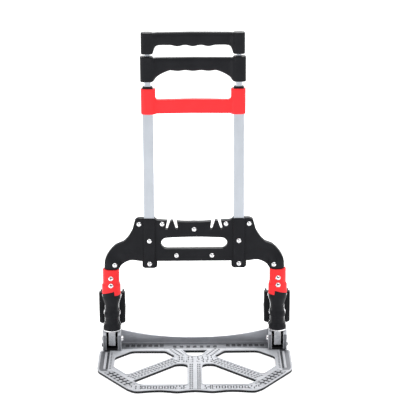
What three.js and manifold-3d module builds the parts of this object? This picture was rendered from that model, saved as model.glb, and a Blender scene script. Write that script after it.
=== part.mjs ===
// Folding two-wheeled hand truck with a two-stage telescoping handle.
//
// Millimetres, +Z up, +X to the right seen from the front, +Y to the back. While it is being
// built the plane y = 0 holds both leg axes and both rails; the finished truck is then moved so
// that its origin is the middle of its base.
//
// How it works: lifting the front of the toe plate turns the two clevises about the pivot pins.
// Their cam-shaped tops let the thrust discs drop, the return springs push the sleeves after them,
// and the helical step between the collar and the sleeve turns each wheel inwards by 90 degrees.
import * as THREE from 'three';
import { mergeVertices } from 'three/addons/utils/BufferGeometryUtils.js';
import Module from 'manifold-3d';

const wasm = await Module();
wasm.setup();

// ---------------------------------------------------------------- driving dimensions
const GAP = 0.3; // between pieces that seat on or slide in each other
const RAIL_X = 91.5; // middle of the truck to a rail's axis
const LEG_X = 171.6; // middle of the truck to a leg's axis
const HEIGHT = 670; // top of the upper grip, handle pushed in

const WHEEL_RADIUS = 63.5;
const TYRE_WIDTH = 25;
const HUB_LENGTH = 40;
const AXLE_Y = 91; // trail of the axle behind the leg axis
const AXLE_RADIUS = 4;

const PLATE_TOP = 7; // thickness of the toe plate, which lies on the floor
const PLATE_HALF = 197;
const WALL_Y = 34; // front face of the plate's upturned rear wall
const PIVOT_Y = -5;
const PIVOT_Z = 30;
const CHEEK_TOP = 47; // top of the clevis cheeks
const DROP = 5; // mm that a disc drops for each radian of fold

const RAIL = { width: 21.5, depth: 16.5, corner: 4, wall: 1.5 };
const STAGE_ONE = { width: 13, depth: 10.5, corner: 2.5, wall: 1.3 };
const STAGE_TWO = { width: 9.6, depth: 7.1, corner: 1.6, wall: 1.2 };

const HOUSING = { half: 8.5, band: 12, pad: 13, bottom: 199.7, tab: 187.7, socket: 181.2, top: 283 };
const POST_RADIUS = 9;
const POST_TOP = 204;
const COLLAR_TOP = 180.6;
const CAM_LOW = 126.5; // lowest point of the collar's stepped edge
const CAM_TURN = THREE.MathUtils.degToRad(111); // length of each of the two helical ramps

// ---------------------------------------------------------------- solids
function toSolid(geometry) {
  const bare = geometry.index ? geometry.toNonIndexed() : geometry.clone();
  bare.deleteAttribute('normal');
  bare.deleteAttribute('uv');
  const merged = mergeVertices(bare, 1e-4);
  const mesh = new wasm.Mesh({
    numProp: 3,
    vertProperties: new Float32Array(merged.attributes.position.array),
    triVerts: new Uint32Array(merged.index.array),
  });
  return new wasm.Manifold(mesh);
}

function toGeometry(solid) {
  const { vertProperties, triVerts } = solid.getMesh();
  const geometry = new THREE.BufferGeometry();
  geometry.setAttribute('position', new THREE.BufferAttribute(vertProperties, 3));
  geometry.setIndex(new THREE.BufferAttribute(triVerts, 1));
  return geometry;
}

const join = (...geometries) => toGeometry(
  geometries.map(toSolid).reduce((whole, piece) => whole.add(piece)),
);
const cut = (body, ...tools) => toGeometry(
  tools.map(toSolid).reduce((whole, tool) => whole.subtract(tool), toSolid(body)),
);
const common = (body, other) => toGeometry(toSolid(body).intersect(toSolid(other)));

// ---------------------------------------------------------------- outlines
function roundedRect(width, height, radius, shape = new THREE.Shape()) {
  const x = width / 2;
  const y = height / 2;
  const turn = Math.PI / 2;
  shape.moveTo(x, y - radius);
  shape.absarc(x - radius, y - radius, radius, 0, turn);
  shape.absarc(radius - x, y - radius, radius, turn, 2 * turn);
  shape.absarc(radius - x, radius - y, radius, 2 * turn, 3 * turn);
  shape.absarc(x - radius, radius - y, radius, 3 * turn, 4 * turn);
  shape.closePath();
  return shape;
}

const disc = (radius) => new THREE.Shape().absarc(0, 0, radius, 0, 2 * Math.PI);

const vectors = (...pairs) => pairs.map(([x, y]) => new THREE.Vector2(x, y));

// The right half of an outline, from its bottom middle to its top middle, closed by its mirror.
function symmetric(half) {
  const left = half.filter((p) => p.x > 1e-6).reverse().map((p) => new THREE.Vector2(-p.x, p.y));
  return new THREE.Shape([...half, ...left]);
}

const curve = (count, ...pairs) => new THREE.SplineCurve(vectors(...pairs)).getPoints(count);

// ---------------------------------------------------------------- prisms
// A bevelled prism keeps the outline that it is given: its ends are drawn in by the bevel.
function prism(shape, length, bevel = 0, segments = 2) {
  return new THREE.ExtrudeGeometry(shape, {
    depth: length - 2 * bevel,
    curveSegments: segments,
    bevelEnabled: bevel > 0,
    bevelThickness: bevel,
    bevelSize: bevel,
    bevelOffset: -bevel,
    bevelSegments: bevel > 3 ? 2 : 1,
  }).translate(0, 0, bevel);
}

// Outline drawn in plan (x, y), standing from z0 to z1.
const upright = (shape, z0, z1, bevel, segments) => prism(shape, z1 - z0, bevel, segments)
  .translate(0, 0, z0);

// Outline drawn from the front (x, z), reaching from y0 to y1.
const frontal = (shape, y0, y1, bevel, segments) => prism(shape, y1 - y0, bevel, segments)
  .rotateX(Math.PI / 2).translate(0, y1, 0);

// Outline drawn from the side (y, z), reaching from x0 to x1.
function sideways(shape, x0, x1, bevel, segments) {
  const turn = new THREE.Matrix4().makeBasis(
    new THREE.Vector3(0, 1, 0),
    new THREE.Vector3(0, 0, 1),
    new THREE.Vector3(1, 0, 0),
  );
  return prism(shape, x1 - x0, bevel, segments).applyMatrix4(turn).translate(x0, 0, 0);
}

const box = (x0, x1, y0, y1, z0, z1) => new THREE.BoxGeometry(x1 - x0, y1 - y0, z1 - z0)
  .translate((x0 + x1) / 2, (y0 + y1) / 2, (z0 + z1) / 2);

// Turned about a vertical axis from [radius, z] pairs.
const turned = (profile, segments) => new THREE.LatheGeometry(vectors(...profile), segments)
  .rotateX(Math.PI / 2);

// The same about an axis along X, from [radius, x] pairs.
const turnedX = (profile, segments) => turned(profile, segments).rotateY(Math.PI / 2);

// Round bars, used as bodies and as drills.
const barX = (radius, x0, x1, segments = 16) => new THREE.CylinderGeometry(
  radius, radius, x1 - x0, segments,
).rotateZ(Math.PI / 2).translate((x0 + x1) / 2, 0, 0);
const barY = (radius, half, segments) => new THREE.CylinderGeometry(
  radius, radius, 2 * half, segments,
);
const barZ = (radius, z0, z1, segments = 24) => new THREE.CylinderGeometry(
  radius, radius, z1 - z0, segments,
).rotateX(Math.PI / 2).translate(0, 0, (z0 + z1) / 2);

const grown = (section, by) => roundedRect(
  section.width + 2 * by, section.depth + 2 * by, section.corner + by,
);

function tube(section, z0, z1) {
  const shape = grown(section, 0);
  const { width, depth, corner, wall } = section;
  shape.holes.push(
    roundedRect(width - 2 * wall, depth - 2 * wall, Math.max(corner - wall, 0.4), new THREE.Path()),
  );
  return upright(shape, z0, z1, 0, 1);
}

// ---------------------------------------------------------------- finishes
const finish = (color, roughness, metalness) => () => new THREE.MeshStandardMaterial({
  color, roughness, metalness,
});
const blackPlastic = finish(0x2d2f32, 0.5, 0);
const redPlastic = finish(0xf2413f, 0.45, 0);
const aluminium = finish(0xc3c7d0, 0.4, 0.8);
const castPlate = finish(0x9a9ca1, 0.55, 0.7);
const chrome = finish(0xe6e6e6, 0.15, 1);
const steel = finish(0xb9bbbf, 0.3, 0.9);
const rubber = finish(0x1f2022, 0.85, 0);
const greyPlastic = finish(0x55585c, 0.6, 0);

function part(name, geometry, material, x = 0, y = 0, z = 0) {
  const mesh = new THREE.Mesh(geometry, material());
  mesh.name = name;
  mesh.position.set(x, y, z);
  return mesh;
}

const SIDES = [['left', -1], ['right', 1]];

// ---------------------------------------------------------------- rivets
// Domed head, dimpled in the middle, on a shank along Y, with a flatter closed head behind.
const SHANK = 2.5;
const RIVET_HOLE = SHANK + 2 * GAP;

function rivet(half, head = 5) {
  const seat = half + GAP;
  const profile = [
    [0, -seat - 1.2], [1.3, -seat - 2.2], [head * 0.75, -seat - 1.6], [head, -seat], [SHANK, -seat],
    [SHANK, seat], [head * 0.9, seat], [0, seat + 1.5],
  ];
  return new THREE.LatheGeometry(vectors(...profile), 8);
}

const drillY = (x, z) => barY(RIVET_HOLE, 40, 8).translate(x, 0, z);

// ---------------------------------------------------------------- cross housing
const RAIL_RIVETS = [241.7, 193.2];
const WING_RIVET = { x: 163.2, z: 191.1 };
const HOUSING_RIVETS = [
  ['centre', 0, 265.5, HOUSING.half],
  ...SIDES.flatMap(([side, s]) => [
    [`top_outer_${side}`, s * 112.3, 276.8, HOUSING.half],
    [`top_inner_${side}`, s * 65.2, 276.9, HOUSING.half],
    [`rail_${side}`, s * RAIL_X, RAIL_RIVETS[0], HOUSING.band],
    [`lower_${side}`, s * 36.3, 209.8, HOUSING.half],
    [`tab_${side}`, s * RAIL_X, RAIL_RIVETS[1], HOUSING.band],
    [`wing_${side}`, s * WING_RIVET.x, WING_RIVET.z, HOUSING.pad],
  ]),
];

function housingOutline() {
  const { bottom, tab, socket, top } = HOUSING;
  const path = new THREE.Path();
  path.moveTo(0, bottom);
  path.lineTo(76, bottom);
  path.lineTo(76, tab + 5);
  path.absarc(81, tab + 5, 5, Math.PI, 1.5 * Math.PI);
  path.absarc(101.6, tab + 5, 5, 1.5 * Math.PI, 2 * Math.PI);
  path.lineTo(106.6, bottom);
  path.splineThru(vectors([113, 199.8], [128.5, 201], [140.2, 197.6], [148.9, 190.8]));
  path.lineTo(154.8, socket);
  path.lineTo(184.8, socket);
  path.splineThru(vectors([184.8, 191], [183.4, 200.7], [177.8, 212.8], [169.8, 223.7]));
  path.splineThru(vectors([161, 231.5], [152.7, 235.5], [144.4, 239], [135, 249], [126.5, 263]));
  path.lineTo(119.8, 287.5);
  path.quadraticCurveTo(116, 291.8, 109.5, 291.8);
  path.lineTo(79.6, 291.8);
  path.quadraticCurveTo(78, 284.6, 72.5, top + 1);
  // two slanted slots leave a trapezium tooth between them
  path.lineTo(54.4, top);
  path.lineTo(57.9, 269);
  path.lineTo(53.8, 268);
  path.lineTo(48.3, top);
  path.lineTo(43, top);
  path.lineTo(37.4, 268);
  path.lineTo(33.2, 269);
  path.lineTo(35.4, top - 1.5);
  path.quadraticCurveTo(18, top - 3.2, 0, top - 2.4);
  return symmetric(path.getPoints(2));
}

function handSlot() {
  const radius = 13;
  const reach = 67.8;
  const low = 223.5;
  const hole = new THREE.Path();
  hole.moveTo(radius - reach, low);
  hole.lineTo(reach - radius, low);
  hole.absarc(reach - radius, low + radius, radius, -Math.PI / 2, Math.PI / 2);
  hole.quadraticCurveTo(0, low + 2 * radius + 3.5, radius - reach, low + 2 * radius);
  hole.absarc(radius - reach, low + radius, radius, Math.PI / 2, 1.5 * Math.PI);
  return hole;
}

function housing() {
  const { half, band, pad, tab, socket } = HOUSING;
  const outline = housingOutline();
  outline.holes.push(handSlot());
  const bodies = [frontal(outline, -half, half)];
  const tools = [];
  for (const s of [-1, 1]) {
    const bandShape = roundedRect(23.4, 291 - tab, 2.5);
    bodies.push(frontal(bandShape, -band, band, 1.6).translate(s * RAIL_X, 0, (291 + tab) / 2));
    const block = frontal(roundedRect(30, 40, 4), -pad, pad, 3.5).translate(s * 169.8, 0, socket + 20);
    bodies.push(common(block, frontal(housingOutline(), -pad, pad)));
    tools.push(upright(grown(RAIL, GAP), tab + 2, 300, 0, 1).translate(s * RAIL_X, 0, 0));
    tools.push(barZ(POST_RADIUS + GAP, socket - 5, POST_TOP + GAP).translate(s * LEG_X, 0, 0));
  }
  for (const [, x, z] of HOUSING_RIVETS) tools.push(drillY(x, z));
  return cut(join(...bodies), ...tools);
}

function housingShells() {
  const whole = housing();
  const parting = GAP / 2;
  return [
    part('housing_front_shell', common(whole, box(-220, 220, -30, -parting, 150, 320)), blackPlastic),
    part('housing_rear_shell', common(whole, box(-220, 220, parting, 30, 150, 320)), blackPlastic),
    ...HOUSING_RIVETS.map(
      ([name, x, z, half]) => part(`rivet_${name}`, rivet(half), chrome, x, 0, z),
    ),
  ];
}

// ---------------------------------------------------------------- rails, yoke and bushes
const RAIL_BOTTOM = HOUSING.tab + 2 + GAP;
const RAIL_TOP = 552.5;
const YOKE = { low: 505, high: 557, barLow: 508.2, barHigh: 537, width: 27.2, depth: 25 };

function rail() {
  return cut(
    tube(RAIL, RAIL_BOTTOM, RAIL_TOP),
    ...RAIL_RIVETS.map((z) => drillY(0, z)),
  );
}

function yoke() {
  const { low, high, barLow, barHigh, width, depth } = YOKE;
  const inner = RAIL_X - width / 2;
  const path = new THREE.Path();
  path.moveTo(0, barLow);
  path.lineTo(inner - 1.5, barLow - 0.6);
  path.quadraticCurveTo(inner, barLow - 0.8, inner + 1, barLow - 2.5);
  path.lineTo(RAIL_X, barLow - 2.5);
  path.lineTo(RAIL_X, barHigh + 5);
  path.lineTo(inner + 0.5, barHigh + 5);
  path.quadraticCurveTo(inner - 0.5, barHigh - 1, inner - 6, barHigh - 1);
  path.quadraticCurveTo(inner / 2, barHigh, 0, barHigh + 0.4);
  const bodies = [frontal(symmetric(path.getPoints(3)), -8.5, 8.5, 2.2)];
  const tools = [];
  for (const s of [-1, 1]) {
    const socket = roundedRect(width, depth, 10);
    bodies.push(upright(socket, low, high, 1.2).translate(s * RAIL_X, 0, 0));
    tools.push(upright(grown(RAIL, GAP), low - 5, high + 5, 0, 1).translate(s * RAIL_X, 0, 0));
  }
  return cut(join(...bodies), ...tools);
}

const BUSH = { low: 532, seat: RAIL_TOP + GAP, high: 561 };

function bushing() {
  const bore = grown(STAGE_ONE, GAP);
  const insideRail = { width: 18.5, depth: 13.5, corner: 2.5 };
  return cut(
    join(
      upright(roundedRect(20.6, 16, 3.8), BUSH.seat, BUSH.high, 0, 1),
      upright(grown(insideRail, -GAP), BUSH.low, BUSH.seat + 1, 0, 1),
    ),
    upright(bore, BUSH.low - 5, BUSH.high + 5, 0, 1),
  );
}

// ---------------------------------------------------------------- telescoping handle
const MID = { low: 571, high: 622, gripTop: 620, gripLow: 595.4, inner: 80.2, outer: 105.8 };
const UPPER = { low: 627, gripLow: 644, inner: 80.1, outer: 103.8, bow: 4.5 };
const FINGER_PITCH = 31;
const COLUMN_DEPTH = 25;
const STAGE_ONE_LOW = 252;
const STAGE_ONE_TOP = 616;
const STAGE_TWO_LOW = 262;
const STAGE_TWO_TOP = 656;

// Right half of a grip's underside: rounded ridges between the fingers, one in the middle and one
// on each side, which end half a pitch past the last.
function underside(base, depth, steps) {
  return Array.from({ length: steps + 1 }, (_, i) => {
    const x = (1.5 * FINGER_PITCH * i) / steps;
    const ridge = (1 + Math.cos((2 * Math.PI * x) / FINGER_PITCH)) / 2;
    return new THREE.Vector2(x, base - depth * ridge);
  });
}

// The two uprights that a grip spans, each closed over the top of its tube.
function columns({ inner, outer, low }, high) {
  const shape = roundedRect(outer - inner, COLUMN_DEPTH, 8);
  const middle = (inner + outer) / 2;
  return [-middle, middle].map((x) => upright(shape, low, high, 1.5).translate(x, 0, 0));
}

function handleMid() {
  const { low, gripTop, gripLow, inner } = MID;
  const half = [
    ...underside(gripLow + 0.6, 1.4, 9),
    ...curve(6, [53, 594.4], [63.5, 590.5], [73, 584.5], [78.2, 578], [inner + 0.8, low]),
    ...vectors([95, low], [95, gripTop - 1], [inner, gripTop - 0.6], [0, gripTop]),
  ];
  const pocket = upright(grown(STAGE_ONE, GAP), low - 5, STAGE_ONE_TOP + GAP, 0, 1);
  const wayOut = upright(grown(STAGE_TWO, 2 * GAP), low - 5, MID.high + 5, 0, 1);
  return cut(
    join(frontal(symmetric(half), -11, 11, 6), ...columns(MID, MID.high)),
    ...[-1, 1].flatMap((s) => [pocket, wayOut].map(
      (tool) => tool.clone().translate(s * RAIL_X, 0, 0),
    )),
  );
}

function handleUpper() {
  const { low, gripLow, inner, bow } = UPPER;
  const steps = 6;
  const top = Array.from({ length: steps + 1 }, (_, i) => new THREE.Vector2(
    95 * (1 - i / steps), HEIGHT - (i === 0 ? 1 : 0),
  ));
  const half = [
    ...underside(gripLow, 2.6, 9),
    ...curve(6, [64, gripLow], [73.5, 642], [77.5, 635.5], [inner, low + 0.5]),
    ...vectors([95, low + 0.5]),
    ...top,
  ];
  const grip = frontal(symmetric(half), -11, 11, 6);
  const position = grip.attributes.position;
  for (let i = 0; i < position.count; i += 1) {
    const across = Math.min(Math.abs(position.getX(i)) / inner, 1);
    position.setY(i, position.getY(i) + bow * (1 - across ** 3));
  }
  const pocket = upright(grown(STAGE_TWO, GAP), low - 5, STAGE_TWO_TOP + GAP, 0, 1);
  return cut(
    join(grip, ...columns(UPPER, HEIGHT)),
    ...[-1, 1].map((s) => pocket.clone().translate(s * RAIL_X, 0, 0)),
  );
}

function guidePlug() {
  const insideRail = { width: 18.5, depth: 13.5, corner: 2.5 };
  return cut(
    upright(grown(insideRail, -GAP), STAGE_ONE_LOW, STAGE_ONE_LOW + 20, 0, 1),
    upright(grown(STAGE_ONE, GAP), STAGE_ONE_LOW - 5, STAGE_ONE_LOW + 30, 0, 1),
  );
}

// ---------------------------------------------------------------- leg: post, collar, sleeve
// The foot's lower end is round about the pin, so the clevis can turn past it.
const FOOT = { half: 6.9, front: -12, back: 7, round: 15, high: 50.7 };
const DISC = { radius: 18.2, low: CHEEK_TOP + GAP, high: CHEEK_TOP + GAP + 3 };
const SLEEVE_LOW = DISC.high + GAP;
const SLEEVE_BACK = 11.7;
const COLLAR_RIVETS = [163.6, 148.7];
const SPRING = { low: 117, high: 142, radius: 11.7, wire: 1.8, turns: 4 };

// Height of the stepped edge at an angle about the leg axis: two ramps, half a turn apart, each
// rising DROP for every radian that the wheel turns, and a level stretch after each step down.
function camHeight(angle) {
  const turn = (2 * Math.PI - angle) % Math.PI;
  return CAM_LOW + (turn < CAM_TURN ? DROP * turn : 0);
}

// Turned piece whose profile points at height EDGE are moved onto the stepped edge.
const EDGE = 0;

function turnedCam(profile, offset) {
  const piece = turned(profile, 36);
  const position = piece.attributes.position;
  for (let i = 0; i < position.count; i += 1) {
    if (Math.abs(position.getZ(i) - EDGE) < 0.01) {
      position.setZ(i, camHeight(Math.atan2(position.getY(i), position.getX(i))) + offset);
    }
  }
  return piece;
}

function footEnd() {
  const { half, front, back, round } = FOOT;
  return common(
    barX(round, -half, half, 24).translate(0, PIVOT_Y, PIVOT_Z),
    box(-half, half, front, back, PIVOT_Z - round - 1, PIVOT_Z + 1),
  );
}

function legPost() {
  return cut(
    join(
      barZ(POST_RADIUS, FOOT.high - 1, POST_TOP),
      box(-FOOT.half, FOOT.half, FOOT.front, FOOT.back, PIVOT_Z, FOOT.high),
      footEnd(),
    ),
    barX(AXLE_RADIUS + GAP, -20, 20).translate(0, PIVOT_Y, PIVOT_Z),
    drillY(WING_RIVET.x - LEG_X, WING_RIVET.z),
    ...COLLAR_RIVETS.map((z) => drillY(0, z)),
  );
}

function camCollar() {
  const bore = POST_RADIUS + GAP;
  const body = turnedCam([
    [15, EDGE], [19.3, EDGE], [19.3, 146.5], [17, 150.5], [17, COLLAR_TOP - 1],
    [16, COLLAR_TOP], [bore, COLLAR_TOP], [bore, SPRING.high],
    [15, SPRING.high], [15, EDGE],
  ], 0);
  return cut(body, ...COLLAR_RIVETS.map((z) => drillY(0, z)));
}

function swivelSleeve() {
  const bore = POST_RADIUS + GAP;
  const footRoom = 14.4;
  const footTop = FOOT.high + DROP * (Math.PI / 2) + GAP;
  const body = turnedCam([
    [footRoom, SLEEVE_LOW], [18.2, SLEEVE_LOW], [18.2, 55.5], [14, 63], [14, 75], [15.9, 78.5],
    [15.9, 84.5], [13.4, 89.5], [13.4, 101], [15.4, 108], [18.8, 119], [18.8, EDGE], [14, EDGE],
    [14, SPRING.low], [bore, SPRING.low], [bore, footTop], [footRoom, footTop],
    [footRoom, SLEEVE_LOW],
  ], -GAP);
  return common(body, box(-30, 30, -30, SLEEVE_BACK, 40, 150));
}

function bracketPlate() {
  const half = [
    [0, 53], [19, 53], [19, 56], [14.8, 63], [14.8, 75], [16.7, 78.5], [16.7, 84.5],
    [14.2, 89.5], [14.2, 101], [16.2, 108], [20.2, 119], [21, 121.5], [0, 121.5],
  ];
  const plate = frontal(symmetric(vectors(...half)), SLEEVE_BACK + GAP, SLEEVE_BACK + GAP + 1.8);
  return cut(plate, barZ(14, SPRING.low - GAP, 130));
}

function springGeometry() {
  const { low, high, radius, wire, turns } = SPRING;
  const steps = turns * 9;
  const rise = high - low - wire - 2 * GAP;
  const helix = Array.from({ length: steps + 1 }, (_, i) => {
    const angle = (i / steps) * turns * 2 * Math.PI;
    const z = low + GAP + wire / 2 + (rise * i) / steps;
    return new THREE.Vector3(radius * Math.cos(angle), radius * Math.sin(angle), z);
  });
  return new THREE.ExtrudeGeometry(disc(wire / 2), {
    steps, curveSegments: 3, extrudePath: new THREE.CatmullRomCurve3(helix),
  });
}

function thrustDisc() {
  const room = new THREE.Shape().setFromPoints(vectors(
    [-FOOT.half - GAP, FOOT.front - GAP], [FOOT.half + GAP, FOOT.front - GAP],
    [FOOT.half + GAP, FOOT.back + GAP], [-FOOT.half - GAP, FOOT.back + GAP],
  ));
  return cut(
    upright(disc(DISC.radius), DISC.low, DISC.high, 0.6, 14),
    upright(room, DISC.low - 5, DISC.high + 5),
    barZ(POST_RADIUS + GAP, DISC.low - 5, DISC.high + 5),
  );
}

// ---------------------------------------------------------------- wheel
const WEB_Y = SLEEVE_BACK + GAP + 1.8 + GAP; // front of the fork's saddle
const FORK = { half: 26, gap: 20.6, wall: 4, front: 19, web: 24, high: 120, low: 55 };

function wheelFork() {
  const { half, gap, wall, front, web, high, low } = FORK;
  const webShape = symmetric(vectors(
    [0, low - 2], [19, low - 2], [half - 0.5, low + 5], [half, low + 9], [half - 0.6, high], [0, high],
  ));
  const saddle = symmetric(vectors([0, 58], [14, 58], [14, 118], [0, 118]));
  const boss = 13;
  const cheek = new THREE.Shape(vectors([front + 1, high], [front + 1, low], [web + 8, low]));
  cheek.lineTo(AXLE_Y - 5, WHEEL_RADIUS - boss + 1);
  cheek.absarc(AXLE_Y, WHEEL_RADIUS, boss, -Math.PI / 2, 0.3 * Math.PI);
  cheek.quadraticCurveTo(70, high - 16, 44, high);
  const cheeks = [-1, 1].map((s) => {
    const middle = s * (gap + wall / 2);
    return sideways(cheek, middle - wall / 2, middle + wall / 2, 0.8);
  });
  return cut(
    join(frontal(webShape, front, web, 1), frontal(saddle, WEB_Y, front + 1), ...cheeks),
    barX(AXLE_RADIUS + GAP, -40, 40).translate(0, AXLE_Y, WHEEL_RADIUS),
  );
}

function axle() {
  const face = FORK.gap + FORK.wall + GAP;
  return turnedX([
    [0, -face - 2.2], [3.5, -face - 1.9], [6.5, -face - 0.6], [6.5, -face], [AXLE_RADIUS, -face],
    [AXLE_RADIUS, face], [6.5, face], [6.5, face + 0.6], [3.5, face + 1.9], [0, face + 2.2],
  ], 14).translate(0, AXLE_Y, WHEEL_RADIUS);
}

const BEARING_RADIUS = 7;
const RIM_RADIUS = 51;

function wheelBearing() {
  const inner = AXLE_RADIUS + GAP;
  const end = HUB_LENGTH / 2;
  return turnedX([
    [inner, -end], [BEARING_RADIUS, -end], [BEARING_RADIUS, end], [inner, end], [inner, -end],
  ], 16);
}

function wheelRim() {
  const bore = BEARING_RADIUS + GAP;
  const end = HUB_LENGTH / 2 - 0.4;
  const rim = turnedX([
    [bore, -end], [13, -end], [14, -4], [42, -4], [44, -10.5], [RIM_RADIUS, -11.5],
    [RIM_RADIUS, 11.5], [44, 10.5], [42, 4], [14, 4], [13, end], [bore, end], [bore, -end],
  ], 24);
  const windows = Array.from({ length: 6 }, (_, i) => barX(8, -20, 20, 8)
    .translate(0, 28.5, 0).rotateX((i * Math.PI) / 3));
  return cut(rim, ...windows);
}

function tyre() {
  const side = TYRE_WIDTH / 2;
  const inner = RIM_RADIUS + GAP;
  return turnedX([
    [inner, -side + 1], [58.5, -side], [62, -9], [WHEEL_RADIUS, -4], [WHEEL_RADIUS, 4],
    [62, 9], [58.5, side], [inner, side - 1], [inner, -side + 1],
  ], 36);
}

// ---------------------------------------------------------------- toe plate
function platePlan() {
  const path = new THREE.Path();
  path.moveTo(0, -240);
  path.splineThru(vectors(
    [12, -241.5], [34, -246.5], [50, -243], [65, -240], [85, -240.5], [113, -245], [125, -239],
    [134.5, -229],
  ));
  path.lineTo(191, -138);
  path.quadraticCurveTo(PLATE_HALF, -128, PLATE_HALF, -118);
  path.lineTo(PLATE_HALF, -21);
  path.lineTo(191.5, -15);
  path.lineTo(191.5, 17);
  path.lineTo(157, 17);
  path.lineTo(156, 37);
  path.lineTo(0, 37);
  return symmetric(path.getPoints(2));
}

const hole = (s, pairs) => new THREE.Path(
  pairs.map(([x, y]) => new THREE.Vector2(s * x, y)),
);

function plateOpenings() {
  const rear = hole(1, [[-26, -12], [26, -12], [13, -44], [7, -47], [-7, -47], [-13, -44]]);
  const sides = [-1, 1].flatMap((s) => [
    hole(s, [
      [61.6, -15.3], [124.9, -14.2], [133, -17.5], [162, -50], [164.2, -57],
      [164.5, -110], [160, -116], [138, -152], [131, -150], [42, -53], [41.5, -46],
    ]),
    hole(s, [
      [38.6, -94.4], [24, -93.5], [17, -98], [14.8, -105], [14.8, -209], [18, -212],
      [68.5, -211.5], [103, -211.5], [112, -206], [124, -190],
    ]),
  ]);
  return [rear, ...sides];
}

function toePlate() {
  const plan = platePlan();
  plan.holes.push(...plateOpenings());
  const reach = 156;
  const wallTop = Array.from({ length: 17 }, (_, i) => {
    const x = reach * (1 - i / 16);
    return [x, 18.2 + 18.4 * (x / reach) ** 2.2];
  });
  const wall = symmetric(vectors([0, 1], [reach, 1], ...wallTop));
  return join(upright(plan, 0, PLATE_TOP), frontal(wall, WALL_Y, WALL_Y + 3));
}

// Seen from the side, the clevis cheek's top front corner is the curve that a level disc rests on
// while it drops DROP per radian, so the disc stays in contact through the whole fold.
function cheekOutline() {
  const lift = CHEEK_TOP - PIVOT_Z;
  const steps = 8;
  const cam = Array.from({ length: steps + 1 }, (_, i) => {
    const fold = (i / steps) * (Math.PI / 2);
    const reach = lift - DROP * fold;
    const ahead = reach * Math.sin(fold) - DROP * Math.cos(fold);
    const up = reach * Math.cos(fold) + DROP * Math.sin(fold);
    return new THREE.Vector2(PIVOT_Y - ahead, PIVOT_Z + up);
  });
  const frontFace = cam[steps].x;
  const foot = PLATE_TOP + GAP;
  return new THREE.Shape([
    ...vectors([frontFace, foot], [13, foot], [13, 34], [10, CHEEK_TOP]), ...cam,
  ]);
}

const CLEVIS = { outer: 19.2, inner: 11.8, webFront: 10.7, webTop: 40 };

function toeClevis() {
  const { outer, inner, webFront, webTop } = CLEVIS;
  const outline = cheekOutline();
  const foot = PLATE_TOP + GAP;
  const base = box(-outer, outer, -14, 13, foot, foot + 3);
  const web = new THREE.Shape(vectors(
    [webFront, foot + 2], [13, foot + 2], [13, 34], [11.6, webTop], [webFront, webTop],
  ));
  return cut(
    join(
      base,
      sideways(web, -inner - 1, inner + 1),
      sideways(outline, -outer, -inner),
      sideways(outline, inner, outer),
    ),
    barX(AXLE_RADIUS + GAP, -30, 30).translate(0, PIVOT_Y, PIVOT_Z),
  );
}

function pivotPin() {
  const face = CLEVIS.outer + GAP;
  return turnedX([
    [0, -face - 2.8], [3, -face - 2.6], [5.5, -face - 1.2], [6, -face], [AXLE_RADIUS, -face],
    [AXLE_RADIUS, face + 1], [AXLE_RADIUS - 0.8, face + 1.8], [0, face + 1.8],
  ], 14).translate(0, PIVOT_Y, PIVOT_Z);
}

// ---------------------------------------------------------------- assembly
function railSet(side, s) {
  const x = s * RAIL_X;
  return [
    part(`outer_tube_${side}`, rail(), aluminium, x),
    part(`tube_bushing_${side}`, bushing(), blackPlastic, x),
    part(`stage_one_tube_${side}`, tube(STAGE_ONE, STAGE_ONE_LOW, STAGE_ONE_TOP), aluminium, x),
    part(`guide_plug_${side}`, guidePlug(), blackPlastic, x),
    part(`stage_two_tube_${side}`, tube(STAGE_TWO, STAGE_TWO_LOW, STAGE_TWO_TOP), aluminium, x),
  ];
}

// Drawn for the right leg, where the inside of the truck is towards -X.
function legSet(side, s) {
  const leg = new THREE.Group();
  leg.position.x = s * LEG_X;
  leg.scale.x = s;
  leg.add(
    part(`leg_post_${side}`, legPost(), steel),
    part(`cam_collar_${side}`, camCollar(), redPlastic),
    ...COLLAR_RIVETS.map((z, i) => part(
      `collar_rivet_${i ? 'lower' : 'upper'}_${side}`, rivet(i ? 19 : 17.3), chrome, 0, 0, z,
    )),
    part(`return_spring_${side}`, springGeometry(), steel),
    part(`thrust_disc_${side}`, thrustDisc(), chrome),
    part(`swivel_sleeve_${side}`, swivelSleeve(), blackPlastic),
    part(`bracket_plate_${side}`, bracketPlate(), steel),
    part(`wheel_fork_${side}`, wheelFork(), blackPlastic),
    part(`axle_${side}`, axle(), chrome),
    part(`wheel_bearing_${side}`, wheelBearing(), steel, 0, AXLE_Y, WHEEL_RADIUS),
    part(`wheel_rim_${side}`, wheelRim(), greyPlastic, 0, AXLE_Y, WHEEL_RADIUS),
    part(`tyre_${side}`, tyre(), rubber, 0, AXLE_Y, WHEEL_RADIUS),
    part(`toe_clevis_${side}`, toeClevis(), castPlate),
    part(`pivot_pin_${side}`, pivotPin(), chrome),
  );
  return leg;
}

const truck = new THREE.Group();
truck.add(
  ...housingShells(),
  part('yoke', yoke(), redPlastic),
  part('handle_mid', handleMid(), blackPlastic),
  part('handle_upper', handleUpper(), blackPlastic),
  part('toe_plate', toePlate(), castPlate),
);
for (const [side, s] of SIDES) truck.add(...railSet(side, s), legSet(side, s));

// Origin in the middle of the base.
const extent = new THREE.Box3().setFromObject(truck);
truck.position.y = -(extent.min.y + extent.max.y) / 2;

export default truck;
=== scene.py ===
"""Looks of the folding hand truck: every visible piece, its material, the studio and the camera."""
import math
import random

import bmesh
import bpy
from mathutils import Matrix, Vector


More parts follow.
